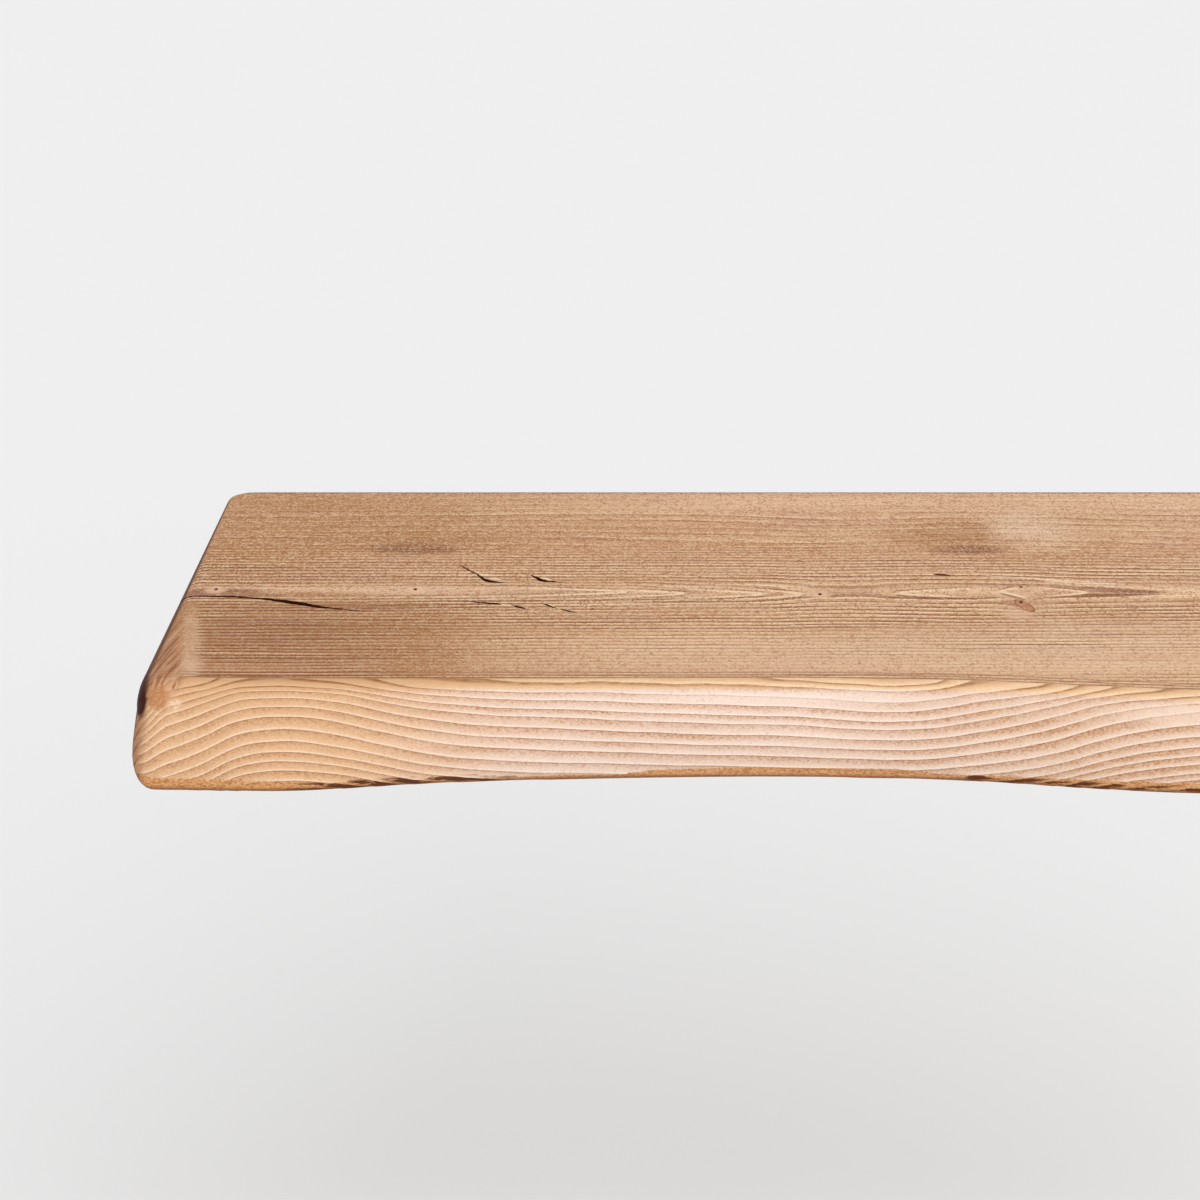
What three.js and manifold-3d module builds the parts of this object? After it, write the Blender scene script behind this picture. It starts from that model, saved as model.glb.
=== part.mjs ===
// Floating wall shelf: a thick softwood board with a natural live edge along the front. It slides
// onto two steel rods, and each rod stands out of a small steel plate that is screwed to the wall.
// Lengths are in millimetres. X runs along the shelf to the right as seen from the room, Y runs
// back into the wall and Z is up. The origin is on the wall plane, at the middle of the board's
// length and thickness.
import * as THREE from "three";
import { mergeVertices } from "three/addons/utils/BufferGeometryUtils.js";
import Module from "manifold-3d";

const wasm = await Module();
wasm.setup();

// Board
const boardLength = 800;
const boardThickness = 40;
const boardDepth = 216; // from the wall to the furthest swell of the live edge
const rearArrisRadius = 1.5;
const bottomArrisRadius = 5;
const bellyBulge = 2.5; // how far the live edge bows out between its two arrises
const frontArrisDepth = 6; // the worn upper arris is an ellipse, deeper than it is high
const frontArrisHeight = 3.5;
const cornerArrisDepth = 12; // the same arris where it rolls over the front corners
const cornerArrisHeight = 6;
const cornerReach = 26; // length over which the arris grows towards each end
const endTopRearRadius = 3; // the top edge of each end rolls over further towards the front
const endTopFrontRadius = 12;
const endBottomRadius = 8;
const endFrontRadius = 10;
const endRearRadius = 12;
const leftEndSkew = 5; // the left end is sawn a little off square, and is short at its rear
const leftEndSkewReach = 120; // length over which the board's sections turn square again
const stationSpacing = 20;
const topSteps = 5;
const bellySteps = 5;
const arrisSteps = 4;
const endSteps = 8;

// The live edge wanders in and out along the board. Each place is a share of the length from the
// left end, and each reach is a share of the depth, at the upper and at the lower arris.
const edgePlaceShares = [
  0, 0.075, 0.145, 0.2225, 0.319, 0.395, 0.4575, 0.506, 0.575, 0.6625, 0.75, 0.8375, 0.925, 1,
];
const topReachShares = [
  0.926, 0.931, 0.931, 0.931, 0.931, 0.94, 0.963, 0.979, 0.981, 0.958, 0.935, 0.926, 0.94, 0.958,
];
const bottomReachShares = [
  0.986, 0.991, 0.963, 0.947, 0.942, 0.956, 0.986, 1, 0.991, 0.963, 0.949, 0.958, 0.981, 0.991,
];

// Hidden supports
const supportSpacing = 480;
const plateWidth = 70;
const plateHeight = 25;
const plateThickness = 4;
const plateCornerRadius = 4;
const rodDiameter = 12;
const rodLength = 130; // from the plate's front face to the tip
const rodChamfer = 1.5;
const spigotDiameter = 8; // the rod's turned-down end, riveted into the plate
const slotSpacing = 50;
const slotLength = 12; // lets the plate be set level before its screws are tightened

// Fasteners
const screwDiameter = 5;
const screwLength = 50; // from under the head to the point
const screwPointLength = 8;
const headDiameter = 9.5;
const headHeight = 3.4;
const headEdgeHeight = 1.1;
const recessWidth = 5;
const recessBladeWidth = 1.1;
const recessDepth = 2;
const washerDiameter = 15;
const washerThickness = 1.2;
const plugDiameter = 8;
const plugLength = 40;
const plugNeckLength = 8;
const plugNoseLength = 5;
const plugNoseDiameter = 6.4;
const plugRibHeight = 0.5;
const plugRibCount = 5;
const plugSlitWidth = 1.2;
const plugSlitLength = 22;

// Fits and clearances
const seatGap = 0.3; // between a turned or pressed piece and the face it seats on
const rodClearance = 0.35; // round the rod in the board
const boreRunout = 5; // bore left empty past the rod's tip
const screwClearance = 0.3; // round the screw in the slot, the washer and the plug
const pocketMargin = 1.5; // round the plate in the board
const pocketCornerRadius = 5; // left by the router's cutter
const pocketRunout = 1.2; // in front of the screw heads
const drillPointAngle = THREE.MathUtils.degToRad(31); // slope of the drill's point
const cutOverrun = 2;
const roundSegments = 24;
const smallRoundSegments = 16;

// Places worked out from the sizes above, counted forward from the wall
const washerBack = plateThickness + seatGap;
const headBack = washerBack + washerThickness + seatGap;
const pocketDepth = headBack + headHeight + pocketRunout;
const rodShoulder = plateThickness + seatGap;
const rodTip = plateThickness + rodLength;
const boreRadius = rodDiameter / 2 + rodClearance;

const wood = new THREE.MeshStandardMaterial({ color: 0xd0a582, roughness: 0.62, metalness: 0 });
const zincSteel = new THREE.MeshStandardMaterial({ color: 0xb4b7ba, roughness: 0.35, metalness: 1 });
const brightSteel = new THREE.MeshStandardMaterial({ color: 0xc2c3c4, roughness: 0.28, metalness: 1 });
const nylon = new THREE.MeshStandardMaterial({ color: 0xb9bab6, roughness: 0.55, metalness: 0 });

// Turns a closed geometry into a solid that can be joined and cut
function toSolid(geometry) {
  const bare = geometry.clone();
  bare.deleteAttribute("normal");
  bare.deleteAttribute("uv");
  const merged = mergeVertices(bare);
  return new wasm.Manifold(
    new wasm.Mesh({
      numProp: 3,
      vertProperties: merged.attributes.position.array,
      triVerts: new Uint32Array(merged.index.array),
    }),
  );
}

// Turns a solid back into a geometry
function toGeometry(solid) {
  const mesh = solid.getMesh();
  const geometry = new THREE.BufferGeometry();
  geometry.setAttribute("position", new THREE.BufferAttribute(mesh.vertProperties, 3));
  geometry.setIndex(new THREE.BufferAttribute(mesh.triVerts, 1));
  geometry.computeVertexNormals();
  return geometry;
}

// Cuts a row of geometries out of a first one
function cut(geometry, cutters) {
  const left = cutters.reduce((solid, cutter) => solid.subtract(toSolid(cutter)), toSolid(geometry));
  return toGeometry(left);
}

// Revolves a profile of [radius, distance behind the wall plane] pairs about the Y axis
function revolve(profile, segments) {
  const points = profile.map(([radius, along]) => new THREE.Vector2(radius, along));
  return new THREE.LatheGeometry(points, segments);
}

// Outline of a rectangle with round corners. A slot is one whose corners are half its height.
function roundedOutline(width, height, radius, centreX = 0) {
  const outline = new THREE.Path();
  const inX = width / 2 - radius;
  const inZ = height / 2 - radius;
  const quarter = Math.PI / 2;
  outline.absarc(centreX + inX, inZ, radius, 0, quarter);
  outline.absarc(centreX - inX, inZ, radius, quarter, 2 * quarter);
  outline.absarc(centreX - inX, -inZ, radius, 2 * quarter, 3 * quarter);
  outline.absarc(centreX + inX, -inZ, radius, 3 * quarter, 4 * quarter);
  outline.closePath();
  return outline;
}

// Stands an outline up against the wall plane and gives it thickness towards the room
function slab(outline, holes, thickness) {
  const shape = new THREE.Shape(outline.getPoints(arrisSteps));
  shape.holes = holes;
  const geometry = new THREE.ExtrudeGeometry(shape, {
    depth: thickness,
    bevelEnabled: false,
    curveSegments: roundSegments / 4,
  });
  return geometry.rotateX(Math.PI / 2);
}

// How far a face has rolled in near an end of the board, on a quarter round
function roll(distance, radius) {
  return distance < radius ? radius - Math.sqrt(radius ** 2 - (radius - distance) ** 2) : 0;
}

// Height of the top near an end, at a share of the depth from the rear edge to the front one
function topHeight(distance, depthShare) {
  const radius = THREE.MathUtils.lerp(endTopRearRadius, endTopFrontRadius, depthShare);
  return boardThickness / 2 - roll(distance, radius);
}

// Adds a quarter ellipse to a section, starting the given number of quarter turns from +Y
function addArris(section, centreY, centreZ, radiusY, radiusZ, startQuarter) {
  for (let step = 0; step <= arrisSteps; step += 1) {
    const angle = ((startQuarter + step / arrisSteps) * Math.PI) / 2;
    section.push(
      new THREE.Vector2(centreY + radiusY * Math.cos(angle), centreZ + radiusZ * Math.sin(angle)),
    );
  }
}

const topReach = new THREE.CubicInterpolant(edgePlaceShares, topReachShares, 1);
const bottomReach = new THREE.CubicInterpolant(edgePlaceShares, bottomReachShares, 1);

// The board's section at one station along X: flat top, bottom and back, and a bowed live edge
function boardSection(x) {
  const place = x / boardLength + 0.5;
  const distance = boardLength / 2 - Math.abs(x);
  const bottom = -boardThickness / 2 + roll(distance, endBottomRadius);
  const back = -roll(distance, endRearRadius);
  const tuck = roll(distance, endFrontRadius);
  const upperFront = -boardDepth * topReach.evaluate(place)[0] + tuck;
  const lowerFront = -boardDepth * bottomReach.evaluate(place)[0] + tuck;
  const cornerShare = Math.max(0, 1 - distance / cornerReach) ** 2;
  const arrisDepth = THREE.MathUtils.lerp(frontArrisDepth, cornerArrisDepth, cornerShare);
  const arrisHeight = THREE.MathUtils.lerp(frontArrisHeight, cornerArrisHeight, cornerShare);
  const upperEnd = topHeight(distance, 1) - arrisHeight;
  const lowerEnd = bottom + bottomArrisRadius;

  const rear = back - rearArrisRadius;
  const front = upperFront + arrisDepth;
  const rearTop = topHeight(distance, 0) - rearArrisRadius;

  const section = [];
  addArris(section, rear, bottom + rearArrisRadius, rearArrisRadius, rearArrisRadius, 3);
  addArris(section, rear, rearTop, rearArrisRadius, rearArrisRadius, 0);
  for (let step = 1; step < topSteps; step += 1) {
    const share = step / topSteps;
    section.push(new THREE.Vector2(THREE.MathUtils.lerp(rear, front, share), topHeight(distance, share)));
  }
  addArris(section, front, upperEnd, arrisDepth, arrisHeight, 1);
  for (let step = 1; step < bellySteps; step += 1) {
    const share = step / bellySteps;
    const bow = bellyBulge * 4 * share * (1 - share);
    section.push(
      new THREE.Vector2(
        THREE.MathUtils.lerp(upperFront, lowerFront, share) - bow,
        THREE.MathUtils.lerp(upperEnd, lowerEnd, share),
      ),
    );
  }
  addArris(section, lowerFront + bottomArrisRadius, lowerEnd, bottomArrisRadius, bottomArrisRadius, 2);
  return section;
}

// Stations along the board: close together where the ends roll over, evenly spaced between
function boardStations() {
  const stations = [];
  for (let step = 0; step <= endSteps; step += 1) {
    const angle = (step / endSteps) * (Math.PI / 2);
    stations.push(-boardLength / 2 + cornerReach * (1 - Math.cos(angle)));
  }
  const inner = boardLength / 2 - cornerReach;
  const count = Math.ceil((2 * inner) / stationSpacing);
  for (let step = 1; step < count / 2; step += 1) {
    stations.push(-inner + (step * 2 * inner) / count);
  }
  return [...stations, ...stations.map((x) => -x).reverse()];
}

// Distance that a point of the board at a depth y moves to the right, where the left end is skewed
function leftSkew(x, y) {
  const distance = boardLength / 2 + x;
  const share = Math.max(0, 1 - distance / leftEndSkewReach);
  return leftEndSkew * share * (1 + y / boardDepth);
}

// Lofts the board through its sections and closes both ends
function boardBlank() {
  const stations = boardStations();
  const sections = stations.map(boardSection);
  const ringSize = sections[0].length;
  const positions = sections.flatMap((section, i) =>
    section.flatMap((point) => [stations[i] + leftSkew(stations[i], point.x), point.x, point.y]),
  );
  const triangles = [];
  for (let i = 0; i + 1 < stations.length; i += 1) {
    for (let j = 0; j < ringSize; j += 1) {
      const next = (j + 1) % ringSize;
      const [a, b] = [i * ringSize + j, i * ringSize + next];
      triangles.push(a, b, b + ringSize, a, b + ringSize, a + ringSize);
    }
  }
  const rightEnd = (stations.length - 1) * ringSize;
  for (const [a, b, c] of THREE.ShapeUtils.triangulateShape(sections[0], [])) {
    triangles.push(c, b, a);
  }
  for (const [a, b, c] of THREE.ShapeUtils.triangulateShape(sections.at(-1), [])) {
    triangles.push(rightEnd + a, rightEnd + b, rightEnd + c);
  }
  const geometry = new THREE.BufferGeometry();
  geometry.setAttribute("position", new THREE.Float32BufferAttribute(positions, 3));
  geometry.setIndex(triangles);
  return geometry;
}

// Pocket that the router cuts in the rear edge for one plate and its screw heads
function pocketCutter() {
  const outline = roundedOutline(
    plateWidth + 2 * pocketMargin,
    plateHeight + 2 * pocketMargin,
    pocketCornerRadius,
  );
  return slab(outline, [], pocketDepth + cutOverrun).translate(0, cutOverrun, 0);
}

// Blind hole that the drill leaves for one rod, with the cone of the drill's point
function boreCutter() {
  const depth = rodTip + boreRunout;
  const pointLength = boreRadius * Math.tan(drillPointAngle);
  const profile = [
    [0, -depth - pointLength],
    [boreRadius, -depth],
    [boreRadius, -cutOverrun],
    [0, -cutOverrun],
  ];
  return revolve(profile, roundSegments);
}

// The board: the lofted blank with a pocket and a bore for each support
function shelfBoard() {
  const cutters = [-1, 1].flatMap((side) =>
    [pocketCutter(), boreCutter()].map((cutter) => cutter.translate((side * supportSpacing) / 2, 0, 0)),
  );
  return new THREE.Mesh(cut(boardBlank(), cutters), wood);
}

// Steel plate with a hole for the rod's spigot and a levelling slot for each screw
function wallPlate() {
  const slotWidth = screwDiameter + 2 * screwClearance;
  const spigotHole = new THREE.Path();
  spigotHole.absarc(0, 0, spigotDiameter / 2 + seatGap, 0, 2 * Math.PI);
  const slots = [-1, 1].map((side) =>
    roundedOutline(slotLength, slotWidth, slotWidth / 2, (side * slotSpacing) / 2),
  );
  const outline = roundedOutline(plateWidth, plateHeight, plateCornerRadius);
  return new THREE.Mesh(slab(outline, [spigotHole, ...slots], plateThickness), zincSteel);
}

// Steel rod that carries the board, with a chamfered tip and a spigot in the plate
function supportRod() {
  const radius = rodDiameter / 2;
  const spigotRadius = spigotDiameter / 2;
  return new THREE.Mesh(
    revolve(
      [
        [0, -rodTip],
        [radius - rodChamfer, -rodTip],
        [radius, rodChamfer - rodTip],
        [radius, -rodShoulder],
        [spigotRadius, -rodShoulder],
        [spigotRadius, -seatGap],
        [0, -seatGap],
      ],
      roundSegments,
    ),
    brightSteel,
  );
}

// Pan-head screw with a cross recess, seated through the washer and the plate into the plug
function wallScrew() {
  const radius = screwDiameter / 2;
  const headRadius = headDiameter / 2;
  const headFront = headBack + headHeight;
  const headEdge = headBack + headEdgeHeight;
  const crown = new THREE.QuadraticBezierCurve(
    new THREE.Vector2(0, -headFront),
    new THREE.Vector2(headRadius, -headFront),
    new THREE.Vector2(headRadius, -headEdge),
  );
  const body = revolve(
    [
      ...crown.getPoints(arrisSteps).map((point) => [point.x, point.y]),
      [headRadius, -headBack],
      [radius, -headBack],
      [radius, screwLength - headBack - screwPointLength],
      [0, screwLength - headBack],
    ],
    smallRoundSegments,
  );
  const blades = [
    [recessWidth, recessBladeWidth],
    [recessBladeWidth, recessWidth],
  ].map(([width, height]) =>
    new THREE.BoxGeometry(width, 2 * recessDepth, height).translate(0, -headFront, 0),
  );
  return new THREE.Mesh(cut(body, blades), zincSteel);
}

// Flat washer between the screw head and the plate
function washer() {
  const inner = screwDiameter / 2 + screwClearance;
  const outer = washerDiameter / 2;
  const front = washerBack + washerThickness;
  const profile = [
    [inner, -front],
    [outer, -front],
    [outer, -washerBack],
    [inner, -washerBack],
    [inner, -front],
  ];
  return new THREE.Mesh(revolve(profile, smallRoundSegments), zincSteel);
}

// Nylon plug in the wall: plain neck, ribbed legs split by a cross slit, and a tapered nose
function wallPlug() {
  const outer = plugDiameter / 2;
  const inner = screwDiameter / 2 + screwClearance;
  const noseStart = seatGap + plugLength - plugNoseLength;
  const ribPitch = (noseStart - seatGap - plugNeckLength) / plugRibCount;
  const profile = [[inner, seatGap], [outer, seatGap], [outer, seatGap + plugNeckLength]];
  for (let rib = 0; rib < plugRibCount; rib += 1) {
    const start = seatGap + plugNeckLength + rib * ribPitch;
    profile.push([outer - plugRibHeight, start + ribPitch / 4], [outer, start + ribPitch]);
  }
  const end = seatGap + plugLength;
  profile.push([plugNoseDiameter / 2, end], [inner, end], [inner, seatGap]);
  const slitMiddle = seatGap + plugNeckLength + (plugLength - plugNeckLength - plugNoseLength) / 2;
  const slits = [
    [plugSlitWidth, 2 * plugDiameter],
    [2 * plugDiameter, plugSlitWidth],
  ].map(([width, height]) =>
    new THREE.BoxGeometry(width, plugSlitLength, height).translate(0, slitMiddle, 0),
  );
  return new THREE.Mesh(cut(revolve(profile, smallRoundSegments), slits), nylon);
}

// Adds a mesh to a group under a name, at a place along X
function place(group, name, mesh, x = 0) {
  mesh.name = name;
  mesh.position.x = x;
  group.add(mesh);
}

// One hidden support with its two sets of fasteners
function support(side, name) {
  const group = new THREE.Group();
  group.position.x = (side * supportSpacing) / 2;
  place(group, `${name}_wall_plate`, wallPlate());
  place(group, `${name}_support_rod`, supportRod());
  for (const [at, row] of [["outer", side], ["inner", -side]]) {
    const x = (row * slotSpacing) / 2;
    place(group, `${name}_${at}_wall_screw`, wallScrew(), x);
    place(group, `${name}_${at}_washer`, washer(), x);
    place(group, `${name}_${at}_wall_plug`, wallPlug(), x);
  }
  return group;
}

const shelf = new THREE.Group();
place(shelf, "shelf_board", shelfBoard());
shelf.add(support(-1, "left"), support(1, "right"));

export default shelf;
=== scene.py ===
import math

import bmesh
import bpy
import numpy as np

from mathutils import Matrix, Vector


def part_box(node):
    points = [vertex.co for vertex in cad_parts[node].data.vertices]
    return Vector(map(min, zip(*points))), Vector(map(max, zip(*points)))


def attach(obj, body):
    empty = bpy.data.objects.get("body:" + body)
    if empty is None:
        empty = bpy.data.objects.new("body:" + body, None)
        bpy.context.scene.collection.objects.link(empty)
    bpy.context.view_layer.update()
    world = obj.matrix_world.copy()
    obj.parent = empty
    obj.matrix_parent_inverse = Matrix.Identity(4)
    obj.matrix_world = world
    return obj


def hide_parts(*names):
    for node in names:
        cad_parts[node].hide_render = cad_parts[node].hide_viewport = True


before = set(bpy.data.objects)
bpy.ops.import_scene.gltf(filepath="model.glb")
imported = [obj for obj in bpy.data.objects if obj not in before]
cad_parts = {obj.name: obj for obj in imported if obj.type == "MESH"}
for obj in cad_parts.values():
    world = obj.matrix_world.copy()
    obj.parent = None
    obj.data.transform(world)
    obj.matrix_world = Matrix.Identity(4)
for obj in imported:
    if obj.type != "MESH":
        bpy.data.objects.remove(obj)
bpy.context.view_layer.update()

# Wall plugs
# Four grey nylon plugs sit in holes drilled in the wall. Each is injection moulded: a plain neck,
# legs with saw-tooth ribs split by a cross slit, and a tapered nose that keeps the legs together.
mm = 0.001
supports = {"left": -1, "right": 1}
screw_places = ("outer", "inner")
plug_slit_width = 1.2 * mm
plug_slit_share = 0.55
plug_neck_share = 0.2
plug_nose_share = 0.125
plug_rib_count = 5
plug_rib_height = 0.5 * mm
plug_nose_radius = 3.2 * mm
plug_edge_radius = 0.12 * mm
screw_radius = 2.5 * mm
screw_clearance = 0.3 * mm
sharp_angle = math.radians(35)
join_distance, least_edge = 0.002 * mm, 0.001 * mm


def bare_piece(name, points, faces):
    """An object made of points and faces."""
    mesh = bpy.data.meshes.new(name)
    mesh.from_pydata([tuple(point) for point in points], [], faces)
    piece = bpy.data.objects.new(name, mesh)
    bpy.context.scene.collection.objects.link(piece)
    return piece


def new_piece(name, points, faces):
    """An object made of points and faces, smooth except at its sharp edges."""
    piece = bare_piece(name, points, faces)
    clean_up(piece)
    return piece


def clean_up(piece):
    """Joins the points that lie on each other, and turns every face outward."""
    work = bmesh.new()
    work.from_mesh(piece.data)
    bmesh.ops.remove_doubles(work, verts=work.verts, dist=join_distance)
    bmesh.ops.dissolve_degenerate(work, edges=work.edges, dist=least_edge)
    bmesh.ops.recalc_face_normals(work, faces=work.faces)
    work.to_mesh(piece.data)
    work.free()
    piece.data.shade_smooth()
    piece.data.set_sharp_from_angle(angle=sharp_angle)


def turned(name, profile, centre_x, segments=48, closed=False):
    """A turned piece on an axis along Y, from its profile's pairs of radius and place."""
    turns = np.arange(segments) * 2 * math.pi / segments
    across, up = np.cos(turns), np.sin(turns)
    rows = [
        np.column_stack([centre_x + radius * across, np.full(segments, along), radius * up])
        for radius, along in profile
    ]
    faces = []
    for row in range(len(rows) if closed else len(rows) - 1):
        near, far = row * segments, (row + 1) % len(rows) * segments
        for turn in range(segments):
            beside = (turn + 1) % segments
            faces.append((near + turn, far + turn, far + beside, near + beside))
    return new_piece(name, np.concatenate(rows), faces)


def block(low, high):
    """A plain block between two corners, which only cuts."""
    points = [(x, y, z) for x in (low[0], high[0]) for y in (low[1], high[1]) for z in (low[2], high[2])]
    faces = [(0, 1, 3, 2), (4, 6, 7, 5), (0, 4, 5, 1), (2, 3, 7, 6), (0, 2, 6, 4), (1, 5, 7, 3)]
    return new_piece("cutter", points, faces)


def shaped_mesh(thing):
    """The mesh that an object's modifiers or its curve make."""
    shaped = thing.evaluated_get(bpy.context.evaluated_depsgraph_get())
    return bpy.data.meshes.new_from_object(shaped)


def settle(piece):
    """Makes a piece's modifiers part of its mesh."""
    mesh = shaped_mesh(piece)
    piece.modifiers.clear()
    piece.data = mesh


def cut_away(piece, cutter, solver="EXACT"):
    """Cuts one object out of another, whose new faces take the cutter's material."""
    cut = piece.modifiers.new("cut", "BOOLEAN")
    cut.object = cutter
    cut.operation = "DIFFERENCE"
    cut.solver = solver
    cut.material_mode = "TRANSFER"
    settle(piece)
    bpy.data.objects.remove(cutter)


def cut_cross(piece, centre_x, halves, low_y, high_y):
    """Cuts two slots across each other, between two places along Y."""
    for half_x, half_z in (halves, halves[::-1]):
        cut_away(piece, block((centre_x - half_x, low_y, -half_z), (centre_x + half_x, high_y, half_z)))


def soften(piece, radius):
    """Rounds a piece's sharp edges a little, as a mould or tumbling does."""
    bevel = piece.modifiers.new("soft edges", "BEVEL")
    bevel.width = radius
    bevel.segments = 2
    bevel.limit_method = "ANGLE"
    bevel.angle_limit = sharp_angle
    settle(piece)
    clean_up(piece)


def add_node(tree, kind, inputs=(), **settings):
    """Adds a shader node with its settings, and fills or links the inputs that are given."""
    made = tree.nodes.new(kind)
    for setting, value in settings.items():
        setattr(made, setting, value)
    for key, value in dict(inputs).items():
        value = value.socket if isinstance(value, Reading) else value
        if isinstance(value, bpy.types.NodeSocket):
            tree.links.new(value, made.inputs[key])
        else:
            made.inputs[key].default_value = value
    return made


def worked(operation, turned_round=False):
    """One kind of sum, written with readings and worked out by a shader node."""

    def method(self, *terms):
        terms = (*terms, self) if turned_round else (self, *terms)
        return self.work(operation, *terms)

    return method


class Reading:
    """A number that changes over a surface. Sums written with it become shader nodes."""

    def __init__(self, socket):
        self.socket = socket
        self.tree = socket.id_data

    def work(self, operation, *terms, clamp=False):
        inputs = enumerate(terms)
        made = add_node(self.tree, "ShaderNodeMath", inputs, operation=operation, use_clamp=clamp)
        return Reading(made.outputs[0])

    __add__ = __radd__ = worked("ADD")
    __sub__, __rsub__ = worked("SUBTRACT"), worked("SUBTRACT", turned_round=True)
    __mul__ = __rmul__ = worked("MULTIPLY")
    __truediv__, __pow__ = worked("DIVIDE"), worked("POWER")
    fraction, whole, upright = worked("FRACT"), worked("FLOOR"), worked("ABSOLUTE")

    def held(self):
        """The same reading, kept from 0 to 1."""
        return self.work("ADD", self, 0.0, clamp=True)

    def ramp(self, low, high, start=0.0, end=1.0):
        """Goes smoothly from start to end while this reading goes from low to high."""
        inputs = {"Value": self, 1: low, 2: high, 3: start, 4: end}
        if low > high:
            inputs = {"Value": self, 1: high, 2: low, 3: end, 4: start}
        made = add_node(self.tree, "ShaderNodeMapRange", inputs, interpolation_type="SMOOTHSTEP")
        return Reading(made.outputs[0])

    def curve(self, points):
        """Follows a smooth curve through points of place and value, both from 0 to 1."""
        made = add_node(self.tree, "ShaderNodeFloatCurve", {"Value": self})
        line = made.mapping.curves[0]
        for place, value in points[1:-1]:
            line.points.new(place, value)
        for point, (place, value) in zip(line.points, points):
            point.location = place, value
            point.handle_type = "AUTO_CLAMPED"
        made.mapping.update()
        return Reading(made.outputs[0])


def tint(share, first, second):
    """A colour between two others."""
    inputs = {0: share, 6: first, 7: second}
    return add_node(share.tree, "ShaderNodeMix", inputs, data_type="RGBA").outputs[2]


def noise(place, scale, detail=2.0, roughness=0.5):
    """Cloudy noise from 0 to 1, at so many cells for each unit of place."""
    inputs = {"Vector": place, "Scale": scale, "Detail": detail, "Roughness": roughness}
    return Reading(add_node(place.id_data, "ShaderNodeTexNoise", inputs).outputs[0])


def stretched(place, amounts):
    """A place whose three coordinates are multiplied, each by its own amount."""
    inputs = {0: place, 1: amounts}
    return add_node(place.id_data, "ShaderNodeVectorMath", inputs, operation="MULTIPLY").outputs[0]


def bump(height, strength, distance):
    """Roughens a surface by a height that changes over it."""
    inputs = {"Height": height, "Strength": strength, "Distance": distance}
    return add_node(height.tree, "ShaderNodeBump", inputs).outputs[0]


def finish(colour, roughness, normal, **plain):
    """Fills the shader of a new finish."""
    tree = colour.id_data
    shader = tree.nodes["Principled BSDF"]
    for key, socket in (("Base Color", colour), ("Normal", normal), ("Roughness", roughness.socket)):
        tree.links.new(socket, shader.inputs[key])
    for key, value in plain.items():
        shader.inputs[key.replace("_", " ")].default_value = value


def new_finish(name):
    """A new material, with its node tree and the place on the object that it is read at."""
    material = bpy.data.materials.new(name)
    material.use_nodes = True
    tree = material.node_tree
    return material, add_node(tree, "ShaderNodeTexCoord").outputs["Object"]


def moulded_nylon():
    """Grey nylon, faintly cloudy, with the fine skin of a spark-eroded mould."""
    material, place = new_finish("moulded_nylon")
    cloud = noise(place, 160.0, 3.0)
    colour = tint(cloud, (0.36, 0.37, 0.35, 1), (0.50, 0.51, 0.48, 1))
    skin = bump(noise(place, 3800.0), 0.5, 0.05 * mm)
    finish(colour, cloud.ramp(0.3, 0.7, 0.46, 0.6), skin)
    return material


def span(node):
    """A CAD node's middle along the wall, its half width and its two ends along Y."""
    low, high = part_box(node)
    return (low.x + high.x) / 2, (high.x - low.x) / 2, low.y, high.y


def wall_plug(node):
    """A ribbed plug whose legs are split by two slits across each other."""
    centre_x, radius, start, end = span(node)
    length = end - start
    bore = screw_radius + screw_clearance
    neck_end = start + plug_neck_share * length
    nose_start = end - plug_nose_share * length
    rib_pitch = (nose_start - neck_end) / plug_rib_count
    profile = [(bore, start), (radius, start), (radius, neck_end)]
    for rib in range(plug_rib_count):
        foot = neck_end + rib * rib_pitch
        profile += [(radius - plug_rib_height, foot + rib_pitch / 4), (radius, foot + rib_pitch)]
    profile += [(plug_nose_radius, end), (bore, end)]
    plug = turned(f"{node}_moulding", profile, centre_x, closed=True)
    middle, reach = (neck_end + nose_start) / 2, plug_slit_share * length / 2
    cut_cross(plug, centre_x, (plug_slit_width / 2, 2 * radius), middle - reach, middle + reach)
    soften(plug, plug_edge_radius)
    return plug


def fit(piece, material, node, body):
    """Gives a piece its finish and its body, and hides the CAD node that it stands for."""
    piece.data.materials.clear()
    piece.data.materials.append(material)
    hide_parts(node)
    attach(piece, body)


def fixings(kind):
    """The CAD nodes of one kind of fixing: an outer and an inner one at each support."""
    return [f"{side}_{at}_{kind}" for side in supports for at in screw_places]


nylon = moulded_nylon()
for node in fixings("wall_plug"):
    fit(wall_plug(node), nylon, node, "wall_supports")

# Wall plates
# Each plate is cut from 4 mm steel strip, punched with two levelling slots and a hole for the
# rod's spigot, then tumbled and zinc plated. Two screws hold it to the wall.
plate_thickness = 4 * mm
plate_corner_radius = 4 * mm
corner_steps = 10
plate_edge_radius = 0.35 * mm
slot_spacing = 50 * mm
slot_length = 12 * mm
slot_width = 5.6 * mm
spigot_radius = 4 * mm
spigot_clearance = 0.35 * mm


def rounded(width, height, radius, centre_x):
    """Outline of a rectangle with round corners. One as round as it is high is a slot."""
    points = []
    for quarter, (side_x, side_z) in enumerate(((1, 1), (-1, 1), (-1, -1), (1, -1))):
        corner_x = centre_x + side_x * (width / 2 - radius)
        corner_z = side_z * (height / 2 - radius)
        for step in range(corner_steps + 1):
            angle = (quarter + step / corner_steps) * math.pi / 2
            points.append((corner_x + radius * math.cos(angle), corner_z + radius * math.sin(angle)))
    return points


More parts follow.
